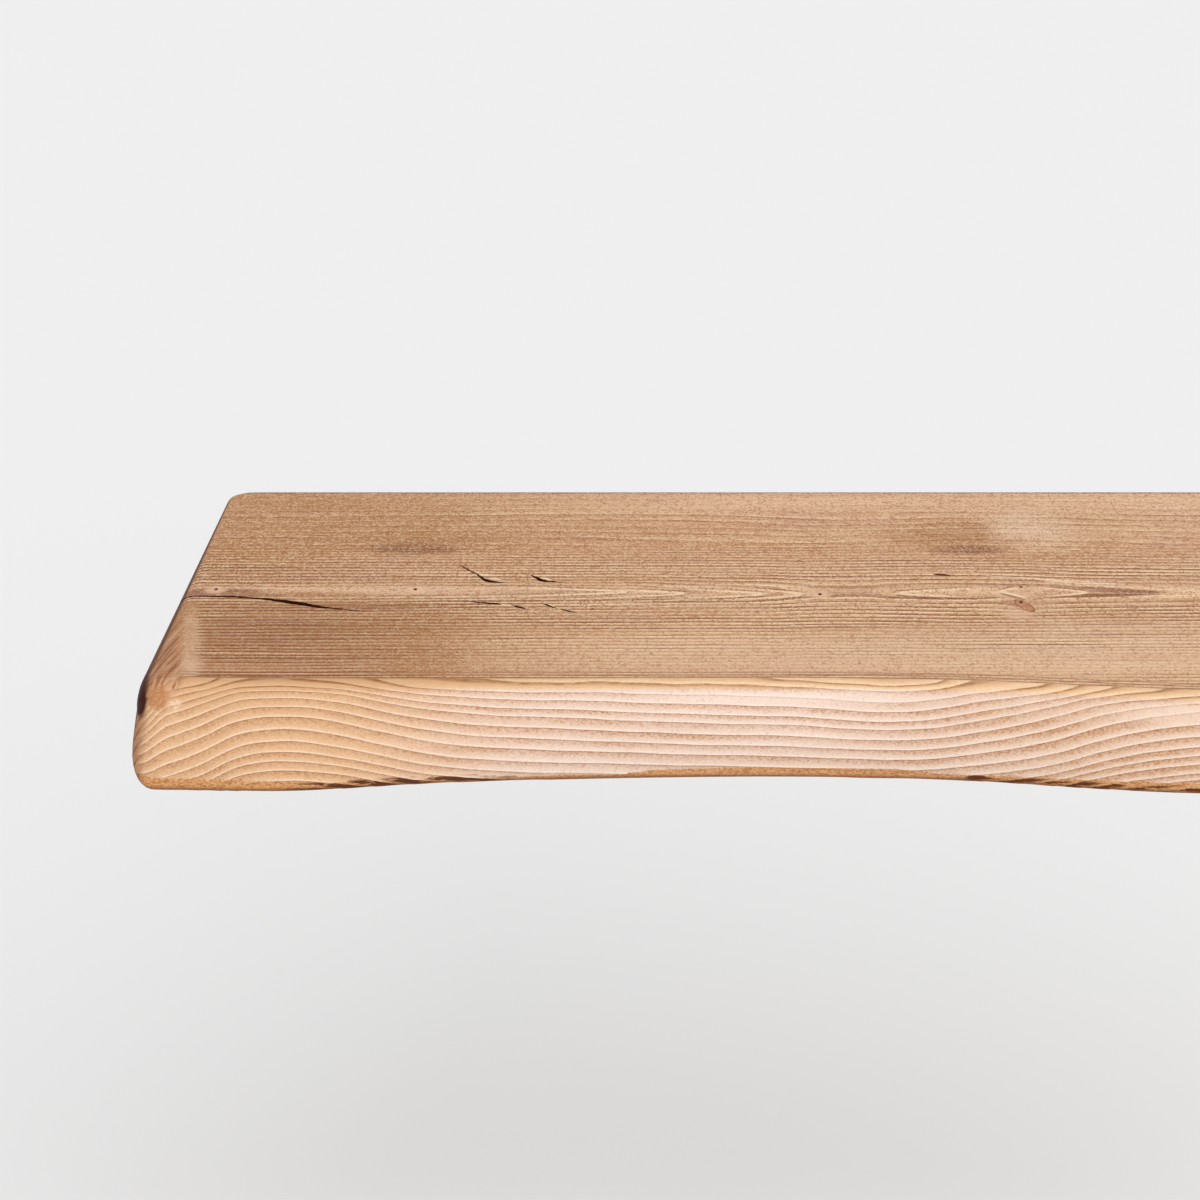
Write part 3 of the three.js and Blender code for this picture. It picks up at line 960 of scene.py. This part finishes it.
def heart_rings_group():
    """The rings round the tree's heart, bent by slow growth and round each knot."""
    readings = ["Late wood", "Early wood", "Radius", "Fibre", "Speckle"]
    group, given = new_group("heart_rings", ["Place"], readings)
    place = given["Place"]
    x, y, z = split(place)
    slow = cells(place, (150, 40, 40))
    quick = cells(place, (30, 7, 7))
    bent = (slow - 0.5) * slow_bend + (quick - 0.5) * quick_bend
    for knot_x, knot_y, size, reach in knots:
        along, beside = (x - knot_x) / reach, y - knot_y
        bent = bent - beside * size**2 / (along * along + beside * beside + size**2 / 4)
    far = y - wide_growth_y
    bent = bent - far * far.ramp(-8, 12) * wide_growth
    line = [(place_x / board_length + 0.5, rise / most_rise) for place_x, rise in pith_rise]
    rise = (x / board_length + 0.5).curve(line)
    over = rise * most_rise + (board_thickness / 2 - z)
    across = y - pith_y + bent
    radius = (across * across + over * over) ** 0.5
    beyond = radius - first_ring
    ring = beyond.work("MAXIMUM", beyond, 0.0) / ring_pitch
    ring = ring + (cells(place, (200, 60, 60), 1.0) - 0.5) * ring_drift
    phase = ring.fraction()
    wide = y.ramp(-84, -60) * 3.5 + 1
    outputs = {
        "Late wood": phase.ramp(0.5, 0.86) ** wide * phase.ramp(1.0, 0.93),
        "Early wood": phase.ramp(0.0, 0.06) * phase.ramp(0.4, 0.15),
        "Radius": radius,
        "Fibre": cells(place, (4.2, 1.1, 1.1), 2.0, 0.6),
        "Speckle": cells(place, (0.85, 1.25, 0.85), 1.0, 0.6),
    }
    add_node(group, "NodeGroupOutput", outputs)
    return group


def wood_place(name):
    """A new wood finish: its material, its place in millimetres and its rings."""
    material, place = new_finish(name)
    place = stretched(place, (1 / mm, 1 / mm, 1 / mm))
    rings = add_node(place.id_data, "ShaderNodeGroup", {"Place": place}, node_tree=heart_rings)
    return material, place, {name: Reading(socket) for name, socket in rings.outputs.items()}


def attribute(tree, name):
    """A number that each point of the mesh carries."""
    return Reading(add_node(tree, "ShaderNodeAttribute", attribute_name=name).outputs["Fac"])


def shade(red, green, blue):
    """The colour that a screen shows for these numbers out of 255."""
    return (*(((c / 255 + 0.055) / 1.055) ** 2.4 for c in (red, green, blue)), 1)


class Coats:
    """A colour that is built up on a surface, coat by coat."""

    def __init__(self, colour):
        self.colour = colour

    def lay(self, share, *colour):
        """Lays a colour over what is there, wholly where the share is 1 or more."""
        over = shade(*colour) if len(colour) == 3 else colour[0]
        self.colour = tint(share, self.colour, over)


def oiled_softwood():
    """The oiled board: its top, its live edge, its worn arrises and its end grain."""
    material, place, rings = wood_place("oiled_softwood")
    tree = place.id_data
    x, y, z = split(place)
    late, early, fibre, speckle = (rings[k] for k in ("Late wood", "Early wood", "Fibre", "Speckle"))
    depth = y / -board_depth
    cloud = cells(place, (60, 40, 40), 3.0)
    drift = cells(place, (60, 60, 9), 3.0)

    # The top: tan bands along the grain, with fine dark lines where the late wood comes up.
    band = cells(place, (170, 14, 40), 3.0)
    pale = depth.curve(pale_bands) + (band - 0.5) * 0.9 + (cloud - 0.5) * 0.5
    top = Coats(tint(pale, shade(200, 151, 112), shade(232, 192, 156)))
    aged = x.ramp(-150, -350) * 0.85 + x.ramp(-250, -340) * y.ramp(-110, -135) * 0.9
    aged = aged + spots(x, y, aged_spots)
    top.lay(aged * (cloud + 0.5), 180, 130, 87)
    rosy = cells(place, (90, 22, 22))
    top.lay(rosy.ramp(0.45, 0.75) * 0.35, 206, 158, 132)
    heart = rings["Radius"].ramp(12, 5) * x.ramp(-170, -250, 0.1, 0.7)
    heart = heart * cells(place, (60, 2.4, 3)).ramp(0.25, 0.6)
    top.lay(heart, 230, 191, 156)
    upside = z.ramp(8, 14)
    slant = x + (y - end_sweep[1]) * end_slant
    # The sweep at the left end is partly wear and partly a painted highlight where the top rounds over to
    # the end.
    light = spots(x, y, pale_spots) + spot(slant, y, *end_sweep) * 0.9
    light = light * (cloud * 2 + band * 2 - 1.2)
    top.lay(light * upside, 226, 190, 158)
    thread = cells(place, (110, 1.2, 3))
    patchy = cells(place, (60, 10, 10), 3.0).ramp(0.3, 0.7, 0.5, 1.35)
    dashes = (fibre - 0.5) * 1.6 + (speckle - 0.5) * 1.4 + 1
    start = slant + (fibre - 0.5) * 9
    frayed = x.ramp(-280, -345) * y.ramp(-118, -127) * upside
    strength = (depth.curve(line_bands) + frayed * 1.1) * patchy * dashes
    strength = strength * (1 - start.ramp(-376, -381) * y.ramp(-122, -130) * upside * 0.9)
    strength = strength * (1 - spots(x, y, plain_spots))
    lines = ((late + thread.ramp(0.53, 0.7) * 0.6) * strength).held()
    top.lay(lines * 0.95, 124, 68, 34)
    dim = x.ramp(-240, -330) * y.ramp(-110, -130, 0.3, 0.8)
    gleam = (early + thread.ramp(0.47, 0.32) * 0.6) * strength * (1 - dim)
    top.lay(gleam * 0.8, 250, 214, 174)
    smudge = spots(x, y, smudges) * x.ramp(-86, -60, 0.5, 1.0) * upside
    streaky = fibre * 1.1 + thread.ramp(0.35, 0.6) * 0.6 - 0.1
    top.lay(smudge * streaky, 128, 78, 54)
    # Painted shade: a dark line along the rear arris, where it turns away from the light.
    top.lay(y.ramp(-3.4, -1.6) * z.ramp(16, 19) * 0.75, 122, 78, 50)

    # Where the heart rings end on the top, in long pale points between fine brown lines.
    rims, browns, insides = 0, 0, 0
    for point in heart_points:
        rim, brown, inside = ring_point(x, y, *point)
        rims, browns, insides = rim + rims, brown + browns, inside + insides
    top.lay((insides * upside).held() * 0.65, 200, 154, 118)
    top.lay((browns * upside * (fibre + 0.4)).held() * 0.85, 146, 94, 58)
    top.lay(rims * upside * (1.5 - fibre * 0.8), 248, 214, 180)
    pale = (sliver(x, y, *long_splinter) * (fibre * 2 - 0.2)).held()
    for splinter in splinters:
        pale = pale.work("MAXIMUM", pale, sliver(x, y, *splinter))
    top.lay(pale * upside * 0.85, 250, 222, 190)

    # The live edge: each ring goes from a dark line, painted shade in the step under its crest, through
    # speckled tan to a pale crest with a painted highlight.
    edge_ring, edge = attribute(tree, "edge_ring"), attribute(tree, "edge_share")
    share, count = edge_ring.fraction(), edge_ring.whole()
    dice = add_node(tree, "ShaderNodeTexWhiteNoise", {"W": count}, noise_dimensions="1D")
    kind = Reading(dice.outputs[0])
    mottle = cells(place, (1.2, 1.1, 0.75), 2.0, 0.75)
    grit = mottle.ramp(0.38, 0.64)
    run_on = cells(place, (42, 30, 6))
    force = (kind * 0.4 + run_on * 1.3 - 0.4 + x.ramp(-130, -50) * z.ramp(12, 6) * 0.35).held()
    bare = spots(x, z, bare_spots).held()
    plain_end = x.ramp(-345, -395)
    west = (x.ramp(-230, -330) + x.ramp(-120, -40) * 0.3).held()
    live_edge = Coats(tint(drift.ramp(0.3, 0.7), shade(234, 208, 191), shade(240, 218, 204)))
    live_edge.lay(west, 228, 188, 148)
    fade_colour = tint(west, shade(206, 170, 144), shade(190, 142, 100))
    fade = (1 - share) * (force * 0.3 + 0.7) * (grit * 0.5 + 0.8) * (1 - bare * 0.8)
    live_edge.lay(fade, fade_colour)
    brown = (share - force * 0.3).ramp(0.5, 0.0) * (force - 0.1) * (grit + 0.3)
    live_edge.lay(brown * (1 - bare), 196, 145, 106)
    # Painted highlight: a pale line just over each crest.
    crest = share.ramp(0.78, 0.9) * share.ramp(1.0, 0.97)
    live_edge.lay(crest * (0.6 - west * 0.2), 245, 225, 209)
    # Painted shade: a dark line in the step just under each crest.
    groove_shade = (share.ramp(0.16, 0.03) + share.ramp(0.98, 1.0)) * (1 - plain_end * 0.3) * (1 - bare * 0.7)
    groove_shade = groove_shade * (force * 0.45 + 0.17 + west * 0.12) * (grit * 0.7 + fibre * 0.8)
    live_edge.lay(groove_shade, 136, 82, 44)
    dots = (mottle + (speckle - 0.5) * 0.8).ramp(0.57, 0.7) * share.ramp(0.8, 0.2)
    live_edge.lay(dots * (force * 0.7 + 0.3) * (1 - bare) * 0.75, 150, 100, 64)

    # Arrises: the rings run on over the upper one, worn to a warm orange with fine dark lines, and
    # old bark is left in the hollows of the lower one.
    body = Coats(tint(edge, top.colour, live_edge.colour))
    sander = cells(turned_place(place, 38), (7, 0.9, 7))
    grain = (speckle - 0.5) * 2.0 + (fibre - 0.5) * 1.1 + (sander - 0.5) * 0.4
    grain = grain * (1 - edge * 0.6) * y.ramp(-128, -150, 1.0, 0.8) * (1 - frayed * 0.3)
    body.lay(grain * -1.3, 138, 82, 42)
    body.lay(grain, 252, 220, 184)
    run = attribute(tree, "arris_run") + (drift - 0.5) * 1.0
    warm = run.ramp(0.0, 1.4) * z.ramp(17.3, 18.5) + x.ramp(-335, -372) * z.ramp(9, 15) * edge * 0.5
    worn = Coats(tint(share.ramp(0.2, 0.8), shade(222, 178, 134), shade(247, 212, 174)))
    worn.lay(grit * 0.5, 226, 182, 138)
    worn.lay(x.ramp(-190, -330) * 0.75, 206, 158, 114)
    body.lay(warm * 0.9, worn.colour)
    arris_line = (share.ramp(0.3, 0.06) + share.ramp(0.94, 1.0)) * warm.held()
    arris_line = arris_line * (fibre * 1.6 + west * 0.3 - 0.1)
    body.lay(arris_line * 0.8, 142, 90, 48)
    rim = (run / rim_pitch + 0.1).fraction()
    rim_line = rim.ramp(0.0, 0.12) * rim.ramp(0.5, 0.25) * run.ramp(-6.5, -3.5) * run.ramp(1.0, 0.2)
    rim_line = rim_line * (fibre * 1.7 + speckle * 1.0 - 0.6)
    body.lay(rim_line * 0.85, 132, 78, 34)
    under = attribute(tree, "under_share") + (speckle - 0.5) * 0.5 + (mottle - 0.5) * 0.5
    amber = tint(grit, shade(214, 158, 104), shade(170, 108, 56))
    body.lay(under.ramp(0.3, 0.6) * 0.9, amber)
    edge_rim = (attribute(tree, "under_rim") + (speckle - 0.5) * 0.6 + (fibre - 0.5) * 0.6).held()
    body.lay(edge_rim * 0.65, 112, 62, 30)
    barky = attribute(tree, "bark_share")
    bark = (cells(place, (13, 8, 2.0), 3.0, 0.6) + barky * 0.1).ramp(0.55, 0.61) * barky
    body.lay((bark * share.ramp(0.9, 0.5)).held() * 0.95, 84, 36, 6)

    # Knots: a red-brown eye by the heart, and a few pins no wider than a nail.
    pins = spots(x, y, pin_spots) + sliver(x, y, *dark_streak, half=1.3)
    body.lay(spots(x, y, halo_spots) * upside, 228, 188, 156)
    body.lay(sliver(x, y, *knot_ear, half=1.2) * upside * 0.85, 242, 208, 174)
    body.lay(sliver(x, y, *ear_shadow) * upside * 0.8, 150, 98, 62)
    eye = spot(x + (y - knot_eye[1]) * eye_slant, y, *knot_eye) * upside
    body.lay(eye.ramp(0.02, 0.2), 138, 82, 48)
    body.lay(eye.ramp(0.2, 0.5), tint(grit, shade(198, 146, 112), shade(172, 116, 82)))
    body.lay((pins * upside).ramp(0.1, 0.8), 88, 34, 4)

    # End grain, which the oil turns red-brown, with a darker rim along its rounded edges that is partly
    # the darker end grain and partly painted shade.
    facing = split(add_node(tree, "ShaderNodeTexCoord").outputs["Normal"])[0].upright()
    rays = cells(turned_place(place, 13), (1.5, 26, 3))
    near_end = slant.ramp(-383, -388) * y.ramp(-138, -156) * z.ramp(14, 17)
    body.lay(near_end * 0.5, 190, 140, 106)
    body.lay(rays.ramp(0.5, 0.62) * near_end * 0.75, 140, 84, 56)
    body.lay(rays.ramp(0.44, 0.34) * near_end * 0.5, 222, 180, 146)
    at_front = y.ramp(-180, -190)
    body.lay(spot(x, z, *burl) * at_front * (grit * 0.7 + 0.7), 182, 126, 84)
    body.lay(spot(x, z, *burl_light) * at_front * grit * 0.7, 246, 216, 186)
    end_colour = tint(late * 0.7 + rays * 0.6, shade(192, 140, 100), shade(128, 80, 50))
    body.lay(facing.ramp(0.3, 0.8) * 0.9, end_colour)
    # Partly darker end grain, partly painted shade: a dark rim where the end turns away, stronger toward
    # the left.
    end_rim_grain_and_shade = facing.ramp(0.45, 0.65) * z.ramp(10, 16) + facing.ramp(0.86, 0.95)
    end_rim_grain_and_shade = end_rim_grain_and_shade.held() * facing.ramp(1.0, 0.985, 0.25, 1.0)
    end_rim_grain_and_shade = end_rim_grain_and_shade * x.ramp(0, -300, 0.4, 1.0) * z.ramp(-8, 6, 0.45, 1.0)
    body.lay(end_rim_grain_and_shade * 0.9, 84, 42, 18)
    body.lay(spot(x, z, *end_stain) * at_front * 2, 54, 12, 0)

    height = fibre * 0.3 + speckle * 0.3 - lines * 0.5
    roughness = 0.62 - lines * 0.08 + (speckle - 0.5) * 0.1
    finish(body.colour, roughness, bump(height, 0.5, 0.25 * mm), Specular_IOR_Level=0.12)
    return material


def fresh_cut_wood():
    """Raw wood inside the pockets and bores, paler than the oiled faces."""
    material, place, rings = wood_place("fresh_cut_wood")
    grain = (rings["Late wood"] * 0.6 + rings["Fibre"] * 0.3).held()
    colour = tint(grain, shade(232, 200, 166), shade(190, 142, 100))
    roughness = rings["Speckle"].ramp(0.2, 0.8, 0.7, 0.85)
    finish(colour, roughness, bump(rings["Fibre"], 0.6, 0.3 * mm))
    return material


def check_painted_shade():
    """Painted shade down in the heart checks: near-black wood, a little paler at its rim."""
    material, place, rings = wood_place("check_painted_shade")
    # Painted shade: darker deeper in the check, paler within 0.9 mm of the top.
    rim = split(place)[2].ramp(board_thickness / 2 - 0.9, board_thickness / 2)
    colour = tint((rim * 0.5 + rings["Fibre"] * 0.15).held(), shade(34, 8, 0), shade(96, 50, 22))
    roughness = rings["Speckle"].ramp(0.2, 0.8, 0.85, 0.95)
    finish(colour, roughness, bump(rings["Fibre"], 0.8, 0.4 * mm), Specular_IOR_Level=0.1)
    return material


def carry(piece, name, values):
    """Gives every point of a mesh a number that its material reads."""
    piece.data.attributes.new(name, "FLOAT", "POINT").data.foreach_set("value", values.astype(np.float32))


# The heart's points: each one's tip, how far it opens along the grain, and half its width there.
heart_points = [
    (-212.6, -115.6, -60, 5), (-188.9, -117.2, -44, 5), (-156.1, -117.7, -48, 6),
    (-140.4, -118, -32, 6.5), (-103.4, -116.9, 45, 5.5), (-59.8, -115.5, 14, 6),
    (-24.4, -116.1, -26, 5.5), (96, -115.2, 50, 5), (150, -116, 60, 6), (262, -115.4, -56, 5.5),
    (318, -116.4, -50, 6),
]
long_splinter = (-66, -98.6, -4, -108)
splinters = [
    (-275, -96.6, -269.5, -99.2), (-271, -101.4, -264.5, -103.6), (-249.4, -100.6, -243.5, -103.8),
    (-264.5, -128.2, -258, -129.6), (-42, -103.2, -24, -106.6), (-30, -106.5, -5, -107.8),
]
rim_pitch = 2.3
# Soft oval spots on the top, each with its middle, its reaches and its strength: where the wood is
# aged, pale, free of lines, or smudged, and the pins with the pale halos round them.
aged_spots = [(-302, -65, 44, 16, 0.4), (-68, -54, 44, 24, 0.95)]
pale_spots = [
    (-34, -46, 24, 36, 1), (-40, -145, 14, 40, 0.4), (-120, -172, 120, 17, 0.5),
    (-285, -113.5, 115, 4.6, 0.6),
]
plain_spots = [(-50, -126, 13, 14, 0.7), (-290, -114, 90, 6, 0.75)]
smudges = [(-305, -69, 26, 9, 1.7), (-66, -70.5, 24, 6.5, 1), (-352, -150, 40, 22, 0.44)]
pin_spots = [(-53.2, -126, 1.1, 1.5, 1), (-50.2, -110.6, 0.9, 1.3, 1), (-227, -132.8, 1, 1.5, 0.6)]
pin_spots += [(knot_x, knot_y, 1.1, 1.5, 1) for knot_x, knot_y, *_ in knots[1:]]
halo_spots = [(-57, -138, 9, 7, 0.55), (-55, -119, 11, 6, 0.55)]
halo_spots += [(knot_x, knot_y - 1, 6, 4.5, 0.8) for knot_x, knot_y, *_ in knots[1:]]
# The same for where the live edge is bare of dark rings, by place along the board and height.
bare_spots = [(-150, 15, 72, 3.6, 0.85), (-10, 13, 34, 5, 0.9), (-288, -0.5, 40, 4, 0.4)]
# Near the left end: a pale sweep across the grain, partly worn wood and partly a painted highlight
# where the top rounds over to the end, and how far it leans. By the knot: its eye, which leans too,
# a pale ear over it with a dark edge, and a dark streak at its left.
end_sweep, end_slant = (-381, -171, 6.5, 48), 0.17
knot_eye, eye_slant = (-52.5, -129.5, 3.3, 7), 0.3
knot_ear, ear_shadow = (-61, -114.4, -49, -122.5), (-61, -116.2, -50, -124.6)
dark_streak = (-85, -97, -76.5, -98.8)
# At the left end's front corner, by place along the board and height: a burl, its bright side and
# a dark stain.
burl, burl_light, end_stain = (-389, 14.5, 6.5, 5), (-382.5, 12.5, 4, 2.6), (-397.5, 12.5, 5, 7.5)
# How pale the top is, and how strongly its rings are drawn, from the rear edge to the front.
pale_bands = [
    (0, 0.5), (0.05, 0.75), (0.12, 0.62), (0.17, 0.3), (0.27, 0.2), (0.35, 0.1), (0.42, 0.3),
    (0.47, 0.2), (0.51, 0.6), (0.56, 0.45), (0.63, 0.25), (0.7, 0.5), (0.78, 0.95), (0.85, 1),
    (0.9, 0.6), (1, 0.7),
]
line_bands = [
    (0, 0.15), (0.11, 0.2), (0.15, 0.45), (0.2, 0.35), (0.34, 0.45), (0.39, 0.75), (0.47, 0.9),
    (0.5, 0.65), (0.54, 0.7), (0.57, 0.95), (0.66, 0.95), (0.71, 0.6), (0.77, 0.6), (0.81, 0.35),
    (0.87, 0.25), (0.91, 0.6), (1, 0.7),
]
# The orange band under the live edge: where its upper side lies, and how soft that is.
under_band = np.array(
    [
        (-400, -13, 3), (-350, -14, 2.5), (-333, -15, 1.5), (-290, -16.5, 0.8), (-262, -16.8, 0.6),
        (-216, -16.5, 0.5), (-205, -14.6, 0.4), (-160, -13.8, 0.4), (-111, -13.8, 0.4),
        (-95, -15.5, 0.5), (-60, -15, 0.6), (-20, -14, 0.8), (60, -14.5, 0.5), (160, -14, 0.5),
        (260, -16, 1), (400, -14, 2.5),
    ]
)
under_rim_top, bark_top, bark_foot = -16.4, -14.2, -19.9
# How much old bark is left along the lower arris.
bark_amounts = [
    (-345, 0), (-326, 1.5), (-294, 1.4), (-262, 1), (-250, 0.15), (-95, 0.1), (-85, 1), (10, 1),
    (40, 0.2),
]

heart_rings = heart_rings_group()
board = board_mesh()
board.data.materials.append(oiled_softwood())
fresh = fresh_cut_wood()
for side in supports.values():
    centre_x, left = side * rod_spacing / 2, cutter_middle + cutter_shift * side
    for cutter in (pocket_cutter(centre_x, left), bore_cutter(centre_x, left)):
        cutter.data.materials.append(fresh)
        cut_away(board, cutter, "MANIFOLD")
dark = check_painted_shade()
for seed, path in enumerate([end_check] + small_checks):
    cutter = check_cutter(path, small_check_depth if seed else end_check_depth, seed)
    cutter.data.materials.append(dark)
    cut_away(board, cutter, "MANIFOLD")
board.data.shade_smooth()
board.data.set_sharp_from_angle(angle=sharp_angle)

places = np.empty(len(board.data.vertices) * 3)
board.data.vertices.foreach_get("co", places)
x, y, z = (places / mm).reshape(-1, 3).T
at_front = front_share(x, y)
band_top, softness = (np.interp(x, under_band[:, 0], under_band[:, k]) for k in (1, 2))
barky = np.interp(x, *np.transpose(bark_amounts))
lower_arris = smooth_step(bark_top - z, 0, 1.5) * smooth_step(z - bark_foot, 0, 1.2)
carry(board, "edge_ring", edge_ring(x, z))
carry(board, "edge_share", edge_share(x, y, z, below=0.15, over=1.2))
carry(board, "arris_run", np.clip(edge_start(x) + front_arris[0] - y, -20, 20))
carry(board, "under_share", smooth_step(band_top - z, -softness, softness) * at_front)
carry(board, "under_rim", smooth_step(under_rim_top - z, 0, 1.4) * at_front)
carry(board, "bark_share", lower_arris * barky * at_front)
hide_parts("shelf_board")
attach(board, "board")

# Floor, light and camera
# A plain pale studio floor well under the shelf, a broad soft lamp from the front right and a
# little above, and the photograph's own view of the left part of the shelf.
floor_height = -0.55
floor_half = 30
pale_grey, white = (0.88, 0.88, 0.88, 1), (1, 1, 1, 1)
lamp_direction, lamp_width = (0.35, -0.75, 0.75), math.radians(50)
camera_place, camera_tilt = (-0.224, -0.867, 0.3504), math.radians(66.03)

floor = bpy.data.objects.new("studio_floor", bpy.data.meshes.new("studio_floor"))
corners = [
    (across * floor_half, away * floor_half, floor_height)
    for across, away in ((-1, -1), (1, -1), (1, 1), (-1, 1))
]
floor.data.from_pydata(corners, [], [(0, 1, 2, 3)])
bpy.context.scene.collection.objects.link(floor)
paint = bpy.data.materials.new("studio_paint")
paint.use_nodes = True
shader = paint.node_tree.nodes["Principled BSDF"]
shader.inputs["Base Color"].default_value = pale_grey
shader.inputs["Roughness"].default_value = 0.9
floor.data.materials.append(paint)

world = bpy.data.worlds.new("studio")
bpy.context.scene.world = world
world.use_nodes = True
tree = world.node_tree
around = tree.nodes["Background"]
around.inputs["Color"].default_value = white
around.inputs["Strength"].default_value = 0.55
wall = add_node(tree, "ShaderNodeBackground", {"Color": white, "Strength": 0.82})
rays = add_node(tree, "ShaderNodeLightPath")
seen = Reading(rays.outputs["Is Camera Ray"])
seen = seen.work("MAXIMUM", seen, rays.outputs["Is Glossy Ray"])
seen = seen.work("MAXIMUM", seen, rays.outputs["Is Transmission Ray"])
either = add_node(tree, "ShaderNodeMixShader", {0: seen, 1: around.outputs[0], 2: wall.outputs[0]})
tree.links.new(either.outputs[0], tree.nodes["World Output"].inputs[0])

lamp = bpy.data.objects.new("key_lamp", bpy.data.lights.new("key_lamp", "SUN"))
lamp.data.energy = 2.0
lamp.data.angle = lamp_width
lamp.rotation_euler = Vector(lamp_direction).to_track_quat("Z", "Y").to_euler()
bpy.context.scene.collection.objects.link(lamp)

camera = bpy.data.objects.new("camera", bpy.data.cameras.new("camera"))
camera.data.lens = 60
camera.data.sensor_width = 36
camera.location = camera_place
camera.rotation_euler = (camera_tilt, 0, 0)
bpy.context.scene.collection.objects.link(camera)
bpy.context.scene.camera = camera
bpy.context.scene.view_settings.view_transform = "Standard"
